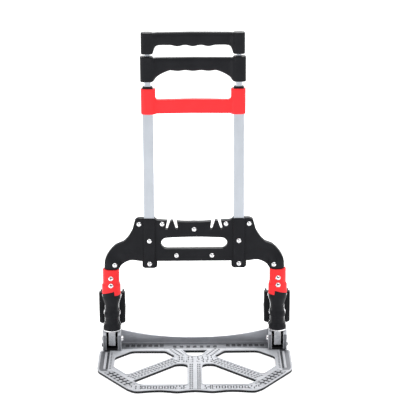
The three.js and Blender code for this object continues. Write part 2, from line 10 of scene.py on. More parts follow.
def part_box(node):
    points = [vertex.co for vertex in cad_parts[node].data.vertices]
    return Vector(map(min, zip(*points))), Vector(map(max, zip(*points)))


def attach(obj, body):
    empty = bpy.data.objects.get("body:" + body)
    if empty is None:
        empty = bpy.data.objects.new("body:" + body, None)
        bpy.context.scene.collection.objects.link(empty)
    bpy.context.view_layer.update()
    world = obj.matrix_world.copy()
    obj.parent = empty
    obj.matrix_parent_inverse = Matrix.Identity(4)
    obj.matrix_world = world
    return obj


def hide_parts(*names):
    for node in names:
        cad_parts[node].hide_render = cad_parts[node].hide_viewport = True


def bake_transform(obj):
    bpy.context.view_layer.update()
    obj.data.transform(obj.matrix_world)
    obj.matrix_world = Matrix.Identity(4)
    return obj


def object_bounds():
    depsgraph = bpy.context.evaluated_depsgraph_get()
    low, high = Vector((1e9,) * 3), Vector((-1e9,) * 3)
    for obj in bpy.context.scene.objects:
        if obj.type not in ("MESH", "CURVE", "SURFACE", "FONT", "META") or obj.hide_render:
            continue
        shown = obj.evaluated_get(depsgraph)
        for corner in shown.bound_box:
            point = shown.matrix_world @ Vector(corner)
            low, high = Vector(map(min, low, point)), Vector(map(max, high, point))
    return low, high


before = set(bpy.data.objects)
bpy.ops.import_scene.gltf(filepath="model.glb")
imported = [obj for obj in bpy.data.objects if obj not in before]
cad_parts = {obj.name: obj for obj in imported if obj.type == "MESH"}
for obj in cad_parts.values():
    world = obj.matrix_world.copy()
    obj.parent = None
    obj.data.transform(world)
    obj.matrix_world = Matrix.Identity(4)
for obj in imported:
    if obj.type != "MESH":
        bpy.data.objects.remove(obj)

CAD_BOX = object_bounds()
MM = 0.001
SIDES = (("left", -1), ("right", 1))


# ---- sizes read from the frame
# Shapes are drawn in millimetres: x = 0 is the middle of the truck, y = 0 the plane of the rails and
# z = 0 the floor. piece() scales them to metres and moves them to the frame's own y.
def span(node):
    """Lowest and highest corner of a CAD node, in millimetres, with y counted from the rails' plane."""
    low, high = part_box(node)
    shift = Vector((0, LEG_PLANE, 0))
    return (low - shift) / MM, (high - shift) / MM


def ends(node, axis="z"):
    """Where a CAD node starts and ends along an axis, in the same millimetres."""
    return [getattr(corner, axis) for corner in span(node)]


def centre(node, axis):
    return sum(ends(node, axis)) / 2


LEG_PLANE = sum(corner.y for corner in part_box("outer_tube_right")) / 2

RAIL_X = centre("outer_tube_right", "x")
RAIL_TOP = ends("outer_tube_right")[1]
LEG_X = centre("leg_post_right", "x")
AXLE_Y, WHEEL_Z = centre("tyre_right", "y"), centre("tyre_right", "z")
WHEEL_RADIUS = (ends("tyre_right")[1] - ends("tyre_right")[0]) / 2
PIVOT_Y, PIVOT_Z = centre("pivot_pin_right", "y"), centre("pivot_pin_right", "z")
PLATE_SIDE = ends("toe_plate", "x")[1]
PLATE_TOP = 7
SHELL_LOW = ends("housing_front_shell")[0]
POST_TOP = ends("leg_post_right")[1]
COLLAR_TOP = ends("cam_collar_right")[1]

GAP = 0.3  # clearance between parts that fit together
FAR = 40  # reach of a cutting tool well past any part
POST_HOLE = 9.3  # radii of the holes for the leg posts, for the rivets, and for axles and pins
RIVET_HOLE = 3.1
PIN_HOLE = 4.3
RAIL_HOLE = (22.1, 17.1, 2)  # width, depth and corner radius of the holes for rails and inner tubes
STAGE_ONE_HOLE = (13.6, 11.1, 2.8)
STAGE_TWO_SOCKET = (10.2, 7.7, 1.9)
STAGE_TWO_HOLE = (10.8, 8.3, 2.2)
GUIDE = (17.9, 12.9, 2.2)  # what slides in a rail


# ---- outlines
class Outline:
    """A 2D path made of straight, round and curved stretches."""

    def __init__(self, x, y):
        self.points = [(x, y)]

    def line(self, *points):
        self.points += points
        return self

    def arc(self, x, y, radius, start, end, steps=10):
        """Round stretch about (x, y) between two angles in degrees."""
        for i in range(steps + 1):
            a = math.radians(start + (end - start) * i / steps)
            self.points.append((x + radius * math.cos(a), y + radius * math.sin(a)))
        return self

    def quad(self, control, end, steps=8):
        """Quadratic Bezier curve."""
        start = self.points[-1]
        for i in range(1, steps + 1):
            t = i / steps
            self.points.append(tuple(
                (1 - t) ** 2 * start[k] + 2 * t * (1 - t) * control[k] + t * t * end[k] for k in (0, 1)
            ))
        return self

    def spline(self, *points, steps=6):
        """Catmull-Rom curve from the last point through these."""
        knots = [self.points[-1], *points]
        for i in range(len(knots) - 1):
            a, b, c, d = (knots[min(max(i + k, 0), len(knots) - 1)] for k in (-1, 0, 1, 2))
            for n in range(1, steps + 1):
                t = n / steps
                self.points.append(tuple(
                    0.5 * (2 * b[k] + (c[k] - a[k]) * t
                           + (2 * a[k] - 5 * b[k] + 4 * c[k] - d[k]) * t * t
                           + (3 * b[k] - a[k] - 3 * c[k] + d[k]) * t ** 3)
                    for k in (0, 1)
                ))
        return self


def symmetric(points):
    """The right half of an outline closed by its mirror."""
    left = [(-x, y) for x, y in reversed(points) if x > 1e-6]
    return list(points) + left


def rounded(points, radius, steps=4, closed=True):
    """A copy of an outline with each corner rounded, or each inner corner of an open line."""
    out = []
    count = len(points)
    for i, here in enumerate(points):
        p = Vector(here)
        before = Vector(points[i - 1]) - p
        after = Vector(points[(i + 1) % count]) - p
        reach = min(radius, before.length / 2, after.length / 2)
        if reach < 1e-6 or not closed and i in (0, count - 1):
            out.append(here)
            continue
        a, b = p + before.normalized() * reach, p + after.normalized() * reach
        for n in range(steps + 1):
            t = n / steps
            out.append(tuple((1 - t) ** 2 * a + 2 * t * (1 - t) * p + t * t * b))
    return out


def rounded_rect(width, height, radius, x=0, y=0, steps=6):
    w, h = width / 2 - radius, height / 2 - radius
    outline = Outline(x + width / 2, y - h)
    for sx, sy, start in ((1, 1, 0), (-1, 1, 90), (-1, -1, 180), (1, -1, 270)):
        outline.arc(x + sx * w, y + sy * h, radius, start, start + 90, steps)
    return outline.points[1:]


# ---- meshes
UPRIGHT = Matrix.Identity(4)
FRONTAL = Matrix(((1, 0, 0, 0), (0, 0, -1, 0), (0, 1, 0, 0), (0, 0, 0, 1)))
SIDEWAYS = Matrix(((0, 0, 1, 0), (1, 0, 0, 0), (0, 1, 0, 0), (0, 0, 0, 1)))


def placed(data, name="work"):
    """A new object in the scene. Those named work are thrown away."""
    o = bpy.data.objects.new(name, data)
    bpy.context.scene.collection.objects.link(o)
    return o


def settled(o, *others):
    """The mesh of a throwaway object after its modifiers. The objects are removed."""
    graph = bpy.context.evaluated_depsgraph_get()
    mesh = bpy.data.meshes.new_from_object(o.evaluated_get(graph))
    for old in (o, *others):
        bpy.data.objects.remove(old)
    return mesh


def edited(mesh, *steps):
    """Runs bmesh steps on a mesh and returns it."""
    bm = bmesh.new()
    bm.from_mesh(mesh)
    for step in steps:
        step(bm)
    bm.to_mesh(mesh)
    bm.free()
    return mesh


def finished(bm):
    """The mesh of a bmesh, which is freed."""
    mesh = bpy.data.meshes.new("work")
    bm.to_mesh(mesh)
    bm.free()
    return mesh


def weld(bm):
    bmesh.ops.remove_doubles(bm, verts=bm.verts, dist=0.003)


def outwards(bm):
    bmesh.ops.recalc_face_normals(bm, faces=bm.faces)


def split(bm, normal, distance):
    """Cuts faces in two along a plane at a distance from the origin."""
    whole = bm.verts[:] + bm.edges[:] + bm.faces[:]
    bmesh.ops.bisect_plane(bm, geom=whole, plane_co=Vector(normal) * distance, plane_no=normal)


def prism(loops, low, high, bevel=0.0, turn=UPRIGHT, rings=3):
    """Solid between low and high on an outline, with holes, its edges rounded inside the outline."""
    curve = bpy.data.curves.new("work", "CURVE")
    curve.dimensions = "2D"
    curve.fill_mode = "BOTH"
    for loop in loops:
        spline = curve.splines.new("POLY")
        spline.points.add(len(loop) - 1)
        spline.points.foreach_set("co", [c for x, y in loop for c in (x, y, 0, 1)])
        spline.use_cyclic_u = True
    curve.extrude = (high - low) / 2 - bevel
    curve.bevel_depth = bevel
    curve.bevel_resolution = rings
    curve.offset = -bevel
    mesh = settled(placed(curve))
    bpy.data.curves.remove(curve)
    middle, axis = (low + high) / 2, turn.to_3x3() @ Vector((0, 0, 1))
    mesh.transform(Matrix.Translation([abs(c) * middle for c in axis]) @ turn)
    return edited(mesh, weld, outwards)


def bridge(bm, rings, steps):
    """Faces between each two rings of points in turn; a ring may be a single point."""
    for a, b in zip(rings, rings[1:]):
        for i in range(steps):
            j = (i + 1) % steps
            corners = [a[i % len(a)], a[j % len(a)], b[j % len(b)], b[i % len(b)]]
            bm.faces.new(list(dict.fromkeys(corners)))


def turned(profile, steps=64, height=None):
    """Solid turned about Z from (radius, z) pairs. height(angle, z) may move a ring's points."""
    bm = bmesh.new()
    rings = []
    for radius, z in profile:
        count = steps if radius > 1e-6 else 1
        ring = []
        for i in range(count):
            a = 2 * math.pi * i / steps
            level = height(a, z) if height else z
            ring.append(bm.verts.new((radius * math.cos(a), radius * math.sin(a), level)))
        rings.append(ring)
    bridge(bm, rings, steps)
    return edited(finished(bm), weld, outwards)


def rod(radius, low, high, steps=64):
    """Upright cylinder."""
    return turned([(0, low), (radius, low), (radius, high), (0, high)], steps)


def closed_ring(profile, radius, steps):
    """Ring turned from a closed profile with rounded corners."""
    smooth = rounded(profile, radius, 3)
    return turned(smooth + smooth[:1], steps)


def even_ring(half, radius, steps):
    """Ring turned from the upper half of its profile and that half's mirror image."""
    return closed_ring([(r, -z) for r, z in half] + half[::-1], radius, steps)


def moved(mesh, x=0.0, y=0.0, z=0.0):
    mesh.transform(Matrix.Translation((x, y, z)))
    return mesh


def spun(mesh, axis, degrees):
    mesh.transform(Matrix.Rotation(math.radians(degrees), 4, axis))
    return mesh


def along_x(mesh):
    return spun(mesh, "Y", 90)


def along_y(mesh):
    return spun(mesh, "X", 90)


def flipped(mesh):
    """Mirror image across x = 0."""
    mesh = mesh.copy()
    mesh.transform(Matrix.Diagonal((-1, 1, 1, 1)))
    return edited(mesh, lambda bm: bmesh.ops.reverse_faces(bm, faces=bm.faces))


def boolean(kind, body, *tools):
    o = placed(body)
    others = []
    for tool in tools:
        others.append(placed(tool))
        modifier = o.modifiers.new("boolean", "BOOLEAN")
        modifier.operation = kind
        modifier.solver = "EXACT"
        modifier.object = others[-1]
    return settled(o, *others)


def joined(body, *tools):
    return boolean("UNION", body, *tools)


def cut(body, *tools):
    return boolean("DIFFERENCE", body, *tools)


def common(body, *tools):
    return boolean("INTERSECT", body, *tools)


def gathered(*meshes):
    """Several closed meshes as one, not joined to each other."""
    bm = bmesh.new()
    for mesh in meshes:
        bm.from_mesh(mesh)
    return finished(bm)


def block(x0, x1, y0, y1, z0, z1, bevel=0.0):
    """A box with all its edges rounded."""
    bm = bmesh.new()
    size = Vector((x1 - x0, y1 - y0, z1 - z0))
    middle = Vector((x0 + x1, y0 + y1, z0 + z1)) / 2
    bmesh.ops.create_cube(bm, size=1, matrix=Matrix.Translation(middle) @ Matrix.Diagonal((*size, 1)))
    if bevel:
        soften(bm, bevel, 3)
    return finished(bm)


def soften(bm, bevel, segments):
    bmesh.ops.bevel(bm, geom=bm.edges[:], offset=bevel, segments=segments, profile=0.5, affect="EDGES")


def sliced(mesh, *distances):
    """Cuts a mesh's faces along planes at these distances either side of x = 0."""
    def slice_all(bm):
        for distance in distances:
            split(bm, (1, 0, 0), -distance)
            split(bm, (1, 0, 0), distance)

    return edited(mesh, slice_all)


def ease(value, start, end):
    """Smooth step from 0 at start to 1 at end."""
    t = min(max((value - start) / (end - start), 0), 1)
    return t * t * (3 - 2 * t)


def melted(mesh, voxel, passes):
    """One smooth skin over overlapping solids, with soft fillets where they meet."""
    o = placed(mesh)
    remesh = o.modifiers.new("remesh", "REMESH")
    remesh.mode = "VOXEL"
    remesh.voxel_size = voxel
    smooth = o.modifiers.new("smooth", "SMOOTH")
    smooth.factor = 0.5
    smooth.iterations = passes
    return settled(o)


# ---- pieces
def shade(mesh, sharp_degrees):
    """Smooth shading, with edges sharper than an angle kept sharp."""
    def mark(bm):
        limit = math.radians(sharp_degrees)
        for face in bm.faces:
            face.smooth = True
        for edge in bm.edges:
            edge.smooth = len(edge.link_faces) == 2 and edge.calc_face_angle(0) < limit

    edited(mesh, mark)


def piece(name, mesh, look, body, *nodes, sharp=32, weighted=True):
    """Places a mesh drawn in millimetres, gives it its material and slot, and rides it on a body."""
    shade(mesh, sharp)
    mesh.transform(Matrix.Translation((0, LEG_PLANE, 0)) @ Matrix.Diagonal((MM, MM, MM, 1)))
    mesh.name = name
    mesh.materials.clear()
    mesh.materials.append(look["material"])
    o = placed(mesh, name)
    if weighted:
        normals = o.modifiers.new("normals", "WEIGHTED_NORMAL")
        normals.keep_sharp = True
        normals.weight = 60
    if body:
        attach(o, body)
    if nodes:
        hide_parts(*nodes)
    return o


def two_tone(o, second, test):
    """Gives the faces whose normal and centre, in metres, pass a test a second material."""
    o.data.materials.append(second["material"])
    for face in o.data.polygons:
        face.material_index = 1 if test(face.normal, face.center) else 0


# ---- materials
def feed(tree, socket, value):
    """Sets a socket to a value, or links it to another node's output."""
    if isinstance(value, bpy.types.NodeSocket):
        tree.links.new(value, socket)
    else:
        socket.default_value = value


def shader_node(tree, kind, **inputs):
    """A new node, its inputs set or linked. An input's name has _ for each space."""
    made = tree.nodes.new(f"ShaderNode{kind}")
    for name, value in inputs.items():
        feed(tree, made.inputs[name.replace("_", " ")], value)
    return made


def worn_edges(tree, colour, edge, edge_colour):
    """The colour, worn towards edge_colour where the surface bends."""
    soft = shader_node(tree, "Bevel", Radius=0.6 * MM)
    soft.samples = 4
    agree = shader_node(tree, "VectorMath")
    agree.operation = "DOT_PRODUCT"
    for socket, source in zip(agree.inputs, (soft, shader_node(tree, "NewGeometry"))):
        feed(tree, socket, source.outputs["Normal"])
    worn = shader_node(tree, "MapRange", Value=agree.outputs["Value"], From_Min=0.995, From_Max=0.9,
                       To_Min=0, To_Max=edge)
    mix = shader_node(tree, "Mix")
    mix.data_type = "RGBA"
    for name, value in (("Factor", worn.outputs["Result"]), ("A", colour), ("B", (*edge_colour, 1))):
        feed(tree, mix.inputs[name], value)
    return mix.outputs["Result"]


def look(slot, colour, roughness, metallic, variation=0.12, grain=900.0, grain_depth=0.02,
         stretch=(1, 1, 1), edge=0.0, edge_colour=(0.8, 0.8, 0.8), specular=0.5):
    """A material with blotches of colour, a fine bumpy grain that is rougher in places and worn edges.

    grain is the grain's frequency per metre, grain_depth its height in millimetres, stretch its
    scale along x, y and z, and edge how far rounded edges are worn towards edge_colour.
    """
    material = bpy.data.materials.new(slot)
    material.use_nodes = True
    tree = material.node_tree
    place = shader_node(tree, "TexCoord").outputs["Object"]
    blotches = shader_node(tree, "TexNoise", Scale=45, Detail=5, Vector=place)
    tone = shader_node(tree, "ValToRGB", Fac=blotches.outputs["Fac"])
    stops = ((0.3, 1 - variation), (0.7, 1 + variation))
    for stop, (position, factor) in zip(tone.color_ramp.elements, stops):
        stop.position = position
        stop.color = (*(min(c * factor, 1) for c in colour), 1)
    base = tone.outputs["Color"]
    if edge:
        base = worn_edges(tree, base, edge, edge_colour)

    scaled = shader_node(tree, "Mapping", Vector=place, Scale=stretch).outputs["Vector"]
    fine = shader_node(tree, "TexNoise", Scale=grain, Detail=3, Vector=scaled).outputs["Fac"]
    rough = shader_node(tree, "MapRange", Value=fine, From_Min=0.3, From_Max=0.7,
                        To_Min=max(roughness - 0.08, 0.03), To_Max=min(roughness + 0.08, 1))
    bump = shader_node(tree, "Bump", Strength=0.6, Distance=grain_depth * MM, Height=fine)
    shader = tree.nodes["Principled BSDF"]
    for name, value in (
        ("Base Color", base), ("Metallic", metallic), ("Roughness", rough.outputs["Result"]),
        ("Specular IOR Level", specular), ("Normal", bump.outputs["Normal"]),
    ):
        feed(tree, shader.inputs[name], value)
    return {"slot": slot, "material": material}


BLACK = look("black_plastic", (0.0135, 0.0139, 0.016), 0.42, 0, grain=2200, grain_depth=0.03,
             edge=0.25, edge_colour=(0.045, 0.05, 0.06), specular=0.07)
# Paler copy of the black plastic: a painted highlight for the fork flange facet that catches the side
# light.
PAINTED_LIGHT_FACET = look("black_plastic", (0.11, 0.112, 0.118), 0.45, 0, grain=2200, grain_depth=0.03, specular=0.2)
RED = look("red_plastic", (0.90, 0.035, 0.04), 0.45, 0, variation=0.04, grain=1800,
           edge=0.12, edge_colour=(0.95, 0.15, 0.13), specular=0.08)
RAIL_METAL = look("rail_aluminium", (0.435, 0.46, 0.498), 0.36, 1, variation=0.03, grain=1500,
                  grain_depth=0.006, stretch=(1, 1, 0.02))
COATED = {"variation": 0.1, "grain": 700, "grain_depth": 0.06, "edge": 0.5}
SUNK = {"variation": 0.15, "grain_depth": 0.05, "specular": 0.2}
CAST = look("cast_plate", (0.46, 0.472, 0.51), 0.42, 0.75, edge_colour=(0.85, 0.86, 0.9), **COATED)
# Pale, less metallic cast: the plate's own skin and rims, and a painted highlight on the clevis cheeks'
# upward and slanting faces.
CAST_PALE_AND_PAINTED_HIGHLIGHT = look("cast_plate", (0.46, 0.472, 0.50), 0.5, 0.2, variation=0.06, grain_depth=0.03,
                  specular=0.3)
CAST_DARK = look("cast_plate", (0.014, 0.0145, 0.016), 0.6, 0.1, **SUNK)
CAST_DULL = look("cast_plate", (0.06, 0.062, 0.068), 0.6, 0.3, **SUNK)
# Darker cast: the plate's rear band and side strips, and painted shade on the fronts of the clevis cheeks.
CAST_GREY = look("cast_plate", (0.185, 0.19, 0.206), 0.45, 0.75, edge_colour=(0.8, 0.81, 0.85), **COATED)
# Near-black plastic for the clevis washers and knob, also used as painted shade on the sheet between the
# cheeks.
NEAR_BLACK_AND_SHADE = look("black_plastic", (0.008, 0.008, 0.009), 0.6, 0, specular=0.15)
SHADE = look("bright_steel", (0.02, 0.035, 0.035), 0.5, 0.3, specular=0.2)
BRIGHT = look("bright_steel", (0.78, 0.78, 0.79), 0.2, 1, variation=0.05, grain=1500,
              grain_depth=0.006)
POST = look("post_steel", (0.52, 0.53, 0.55), 0.32, 1, variation=0.06, grain=1200,
            grain_depth=0.01, edge=0.3)
RUBBER = look("tyre_rubber", (0.028, 0.028, 0.029), 0.8, 0, variation=0.2, grain=2500,
              grain_depth=0.06, edge=0.2, edge_colour=(0.07, 0.07, 0.07), specular=0.3)
RIM = look("rim_plastic", (0.10, 0.105, 0.115), 0.5, 0, grain=1800, grain_depth=0.03,
           edge=0.2, edge_colour=(0.2, 0.2, 0.21))


# ---- rivets
def rivet(half, head=5.0):
    """Domed head in front with a dimple in its middle, shank and closed head behind, along Y.

    half is half the thickness of what it holds.
    """
    seat = half + GAP
    front = [(0, 1.0), (0.8, 1.05), (1.1, 1.7), (1.7, 2.2), (head * 0.55, 2.0), (head * 0.85, 1.3),
             (head, 0.35), (head, 0)]
    rear = [(head * 0.92, 0), (head * 0.92, 0.5), (head * 0.6, 1.2), (0, 1.5)]
    profile = [(r, seat + h) for r, h in front] + [(2.5, seat), (2.5, -seat)]
    profile += [(r, -seat - h) for r, h in rear]
    return along_y(turned(rounded(profile, 0.4, 3, closed=False), 32))


# Half the housing's thickness: its plate, its bands over the rails, its leg sockets and its wings.
HOUSING_HALF, BAND_HALF, SOCKET_HALF, WING_HALF = 8.5, 12, 14.5, 13
SEATS = (("top_outer", HOUSING_HALF), ("top_inner", HOUSING_HALF), ("rail", BAND_HALF),
         ("lower", HOUSING_HALF), ("tab", BAND_HALF), ("wing", WING_HALF))
RIVETS = {"centre": HOUSING_HALF}
RIVETS.update({f"{name}_{side}": half for side, _ in SIDES for name, half in SEATS})


def middle_of(node):
    return sum(span(node), Vector()) / 2


def rivet_hole(x, z):
    return moved(along_y(rod(RIVET_HOLE, -FAR, FAR, 24)), x, 0, z)


def housing_rivets():
    for name, half in RIVETS.items():
        node = f"rivet_{name}"
        at = middle_of(node)
        piece(f"{node}_look", moved(rivet(half), at.x, 0, at.z), BRIGHT, "frame", node, sharp=40)


# ---- cross housing
BAND_LOW = SHELL_LOW + 2.8
HOUSING_TOP = 288.8


def housing_outline():
    """From the middle of the lower edge round the tab under the rail, the leg socket and the top."""
    bottom, tab, socket, top = 198, BAND_LOW + 5, SHELL_LOW, 283
    shape = Outline(0, bottom).line((76, bottom), (76, tab))
    shape.arc(81, tab, 5, 180, 270, 5).arc(101.6, tab, 5, 270, 360, 5).line((106.6, bottom))
    shape.spline((113, 198.6), (128.5, 200.4), (140.2, 197.3), (148.9, 190.6))
    shape.line((154.8, socket), (184.8, socket))
    shape.spline((184.8, 191), (183.4, 200.7), (177.8, 212.8), (169.8, 223.7))
    shape.spline((161, 231.5), (152.7, 235.5), (144.4, 239), (135, 249), (126.5, 263))
    shape.line((120.6, 284.5)).quad((116.6, HOUSING_TOP), (110, HOUSING_TOP)).line((79.6, HOUSING_TOP))
    shape.quad((78, 284.6), (72.5, top + 1)).line((54.4, top))
    shape.line((58.5, 265.6), (54.4, 264.6), (48.3, top), (43, top), (37, 264.6), (32.8, 265.6))
    shape.line((35.4, top - 1.5)).quad((18, top - 3.2), (0, top - 2.4))
    return symmetric(shape.points)


def hand_slot():
    radius, reach, low = 12, 67.8, 223.5
    slot = Outline(radius - reach, low).line((reach - radius, low))
    slot.arc(reach - radius, low + radius, radius, -90, 90)
    slot.quad((0, low + 2 * radius + 3.5), (radius - reach, low + 2 * radius))
    slot.arc(radius - reach, low + radius, radius, 90, 270)
    return slot.points


def housing():
    """The whole housing: a plate that swells towards its leg sockets, with a band over each rail."""
    plate = prism([housing_outline(), hand_slot()], -HOUSING_HALF, HOUSING_HALF, 1.6, FRONTAL)
    plate = sliced(plate, *range(123, 184, 3))
    for vertex in plate.vertices:
        x, z = abs(vertex.co.x), vertex.co.z
        swell = 1 + (SOCKET_HALF / HOUSING_HALF - 1) * ease(x, 122, 158) * ease(-z, -226, -192)
        across = min(abs(x - 169.8) / 15.8, 0.98)
        roundness = ease(x, 135, 160) * ease(-z, -222, -190)
        vertex.co.y *= swell * (1 - roundness * (1 - math.sqrt(1 - across * across)))
    bodies, tools = [], []
    for _, s in SIDES:
        height, middle = HOUSING_TOP - BAND_LOW, (HOUSING_TOP + BAND_LOW) / 2
        band = rounded_rect(23.4, height, 2.5, s * RAIL_X, middle)
        bodies.append(prism([band], -BAND_HALF, BAND_HALF, 2.2, FRONTAL))
        tools.append(prism([rounded_rect(*RAIL_HOLE, s * RAIL_X)], BAND_LOW + 2, HOUSING_TOP + FAR))
        tools.append(moved(rod(POST_HOLE, SHELL_LOW - FAR, POST_TOP + GAP), s * LEG_X))
    for name in RIVETS:
        at = middle_of(f"rivet_{name}")
        tools.append(rivet_hole(at.x, at.z))
    return cut(joined(plate, *bodies), *tools)


def housing_shells():
    whole = housing()
    groove = 0.45
    for name, y0, y1 in (("front", -FAR, -groove / 2), ("rear", groove / 2, FAR)):
        half = common(whole.copy(), block(-250, 250, y0, y1, 150, 320))
        piece(f"shell_{name}", half, BLACK, "frame", f"housing_{name}_shell")


# ---- rails, yoke, bushes
def tube(width, depth, corner, wall, z0, z1):
    inner = rounded_rect(width - 2 * wall, depth - 2 * wall, max(corner - wall, 0.5))
    return prism([rounded_rect(width, depth, corner), inner], z0, z1, 0.25, rings=2)


def rails():
    for side, s in SIDES:
        for node, body, corner, wall, label in (
            ("outer_tube", "frame", 1.8, 1.5, "rail"),
            ("stage_one_tube", "stage_one", 2.5, 1.3, "inner_tube"),
            ("stage_two_tube", "stage_two", 1.6, 1.2, "top_tube"),
        ):
            name = f"{node}_{side}"
            low, high = span(name)
            size = high - low
            mesh = moved(tube(size.x, size.y, corner, wall, low.z, high.z), s * RAIL_X)
            piece(f"{label}_{side}", mesh, RAIL_METAL, body, name)


def yoke():
    (_, front, low), (outer, rear, high) = span("yoke")
    bar_low, bar_high = low + 2.1, low + 30.1
    width, depth = 29.4, rear - front
    inner = outer - width
    shape = Outline(0, bar_low).line((inner - 1.5, bar_low - 0.6))
    shape.quad((inner, bar_low - 0.8), (inner + 1, bar_low - 2.5)).line((RAIL_X, bar_low - 2.5))
    shape.line((RAIL_X, bar_high + 5), (inner + 0.5, bar_high + 5))
    shape.quad((inner - 0.5, bar_high - 1), (inner - 6, bar_high - 1))
    shape.quad((inner / 2, bar_high), (0, bar_high + 0.4))
    bodies = [prism([symmetric(shape.points)], -8.5, 8.5, 2.4, FRONTAL, rings=4)]
    bores = []
    for _, s in SIDES:
        socket = rounded_rect(width, depth, 10, s * (outer - width / 2), steps=12)
        bodies.append(prism([socket], low, high, 1.4, rings=4))
        bores.append(prism([rounded_rect(*RAIL_HOLE, s * RAIL_X)], low - 5, high + 5))
    skin = melted(gathered(*bodies), 0.9, 5)
    piece("yoke_look", cut(skin, *bores), RED, "frame", "yoke", sharp=40)


def bushings():
    bore, seat = rounded_rect(*STAGE_ONE_HOLE), RAIL_TOP + GAP
    for side, s in SIDES:
        low, high = ends(f"tube_bushing_{side}")
        flange = prism([rounded_rect(20.6, 16, 3.8), bore], seat, high, 0.9)
        spigot = prism([rounded_rect(*GUIDE), bore], low, seat + 0.4, 0.2)
        mesh = moved(gathered(flange, spigot), s * RAIL_X)
        piece(f"bushing_{side}", mesh, BLACK, "frame", f"tube_bushing_{side}")


def guide_plugs():
    for side, s in SIDES:
        loops = [rounded_rect(*GUIDE), rounded_rect(*STAGE_ONE_HOLE)]
        mesh = moved(prism(loops, *ends(f"guide_plug_{side}"), 0.4), s * RAIL_X)
        piece(f"plug_{side}", mesh, BLACK, "stage_one", f"guide_plug_{side}")


# ---- handles
FINGER_PITCH = 31


def underside(base, depth, steps=24):
    """An outline begun with the right half of a grip's underside, ridged between the fingers."""
    shape = Outline(0, base - depth)
    for i in range(1, steps + 1):
        x = 1.5 * FINGER_PITCH * i / steps
        ridge = (1 + math.cos(2 * math.pi * x / FINGER_PITCH)) / 2
        shape.line((x, base - depth * ridge))
    return shape


def handle(name, shape, recess, inner, outer, low, high, holes, body):
    """A grip set back between two uprights, melted into one skin and bored for its tubes.

    shape is the right half of the grip's outline, inner and outer are the uprights' faces, and
    holes gives the size of each tube's hole and how high it reaches.
    """
    grip = prism([symmetric(shape.points)], -11, 11, 7.2, FRONTAL, rings=7)
    grip = sliced(grip, 0.01, inner - 8, inner - 6, inner - 4, inner - 2, inner)
    for vertex in grip.vertices:
        vertex.co.y += recess * (1 - ease(abs(vertex.co.x), inner - 8, inner + 1))
    solids, bores = [grip], []
    for _, s in SIDES:
        column = rounded_rect(outer - inner, 25, 8, s * (inner + outer) / 2, steps=10)
        solids.append(prism([column], low, high, 1.8, rings=5))
        bores += [prism([rounded_rect(*hole, s * RAIL_X)], low - 5, reach) for hole, reach in holes]
    skin = melted(gathered(*solids), 0.9, 6)
    piece(f"{name}_grip", cut(skin, *bores), BLACK, body, f"handle_{name}", sharp=40)


def upper_handle():
    low, top = ends("handle_upper")
    inner, outer, grip_low = 80.1, 103.8, low + 17
    shape = underside(grip_low, 2.6)
    shape.spline((64, grip_low), (73.5, grip_low - 2), (77.5, grip_low - 8.5), (inner, low + 0.5))
    shape.line((95, low + 0.5), (95, top - 1), (0, top))
    holes = [(STAGE_TWO_SOCKET, ends("stage_two_tube_left")[1] + GAP)]
    handle("upper", shape, 4.8, inner, outer, low, top, holes, "stage_two")


def mid_handle():
    low, top = ends("handle_mid")
    inner, outer, grip_low, grip_top = 80.2, 105.8, low + 22.2, top - 2.6
    shape = underside(grip_low, 1.4)
    shape.spline((53, 591), (63.5, 586.2), (73, 580), (78, 573.5), (inner + 0.8, low))
    shape.line((95, low), (95, grip_top - 1), (inner, grip_top - 0.6), (0, grip_top))
    holes = [(STAGE_ONE_HOLE, ends("stage_one_tube_left")[1] + GAP), (STAGE_TWO_HOLE, top + 5)]
    handle("mid", shape, 3.8, inner, outer, low, top, holes, "stage_one")


# ---- legs
# Drawn for the right leg about its own axis; the left leg is the mirror image.
DROP = 5  # of the disc and sleeve, in mm for each radian of fold
CAM_LOW = 126.5
CAM_TURN = math.radians(111)
EDGE = 0  # in a profile, heights up to 1 are counted from the stepped edge
COLLAR_RIVETS = {"upper": (163.6, 17.3), "lower": (148.7, 19)}  # height and half the seat's thickness
PIVOT = (0, PIVOT_Y, PIVOT_Z)
HUB = (0, AXLE_Y, WHEEL_Z)


def on_leg(name, mesh, material, body, node, sharp=32, weighted=True):
    """Puts a right-hand mesh on the right leg and its mirror image on the left one.

    The names come without their side. Both legs share the bodies frame and toe.
    """
    made = []
    for side, s in SIDES:
        here = moved(mesh.copy() if s > 0 else flipped(mesh), s * LEG_X)
        rides = body if body in (None, "frame", "toe") else f"{body}_{side}"
        made.append(piece(
            f"{name}_{side}", here, material, rides, f"{node}_{side}", sharp=sharp, weighted=weighted,
        ))
    return made


def pin_hole():
    """Cutting tool for a pin or axle, lying along X through the origin."""
    return along_x(rod(PIN_HOLE, -FAR, FAR, 32))


def cam_height(angle):
    """Stepped edge: two ramps, half a turn apart, each followed by a level stretch."""
    turn = (2 * math.pi - angle) % math.pi
    return CAM_LOW + (DROP * turn if turn < CAM_TURN else 0)


def cam_edge(offset):
    return lambda angle, z: z if z > 1 else cam_height(angle) + offset + z


FOOT_HALF, FOOT_FRONT, FOOT_BACK, FOOT_ROUND, FOOT_HIGH = 6.9, -12, 7, 15, 50.7
SPRING_LOW, SPRING_HIGH = 117, 142


def foot_outline():
    """The post's foot from the side, round about the pin at its lower end."""
    start, end = (
        math.degrees(math.asin((y - PIVOT_Y) / FOOT_ROUND)) - 90 for y in (FOOT_FRONT, FOOT_BACK)
    )
    foot = Outline(FOOT_FRONT, FOOT_HIGH).arc(PIVOT_Y, PIVOT_Z, FOOT_ROUND, start, end, 16)
    return foot.line((FOOT_BACK, FOOT_HIGH)).points


def leg_post():
    post = turned([(0, 49.7), (9, 49.7), (9, POST_TOP - 1), (8.2, POST_TOP), (0, POST_TOP)], 48)
    foot = prism([foot_outline()], -FOOT_HALF, FOOT_HALF, 0.7, SIDEWAYS)
    solid = cut(joined(post, foot), moved(pin_hole(), *PIVOT))
    on_leg("post", solid, POST, "frame", "leg_post")


